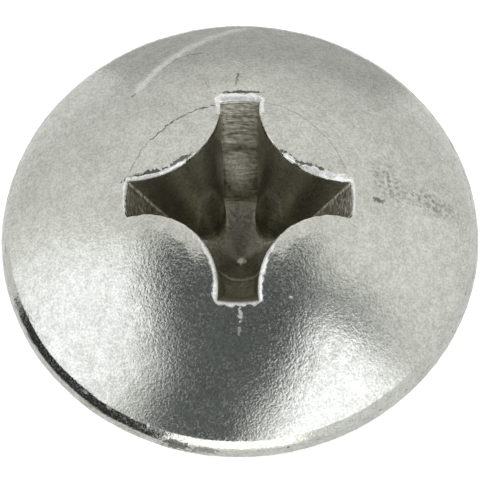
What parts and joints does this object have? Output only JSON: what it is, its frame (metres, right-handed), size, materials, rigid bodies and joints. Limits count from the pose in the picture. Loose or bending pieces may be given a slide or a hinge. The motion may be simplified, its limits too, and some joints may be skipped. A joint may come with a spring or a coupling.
{
  "type": "truss head machine screw",
  "caption": "Short machine screw with a wide low domed head, a cross recess and a right-hand thread, for clamping thin sheet through a clearance hole.",
  "frame": {"origin": "centre of the flat bearing face under the head, on the screw's axis", "axes": "+Z along the axis, out of the drive recess; the shank points along -Z; the recess wings lie near X and Y"},
  "size_m": [0.0096, 0.0096, 0.0085],
  "materials": {
    "stainless_steel": "plain cold-formed stainless steel, satin with fine tool marks"
  },
  "bodies": {
    "root": {"screw": "stainless_steel"}
  },
  "joints": []
}
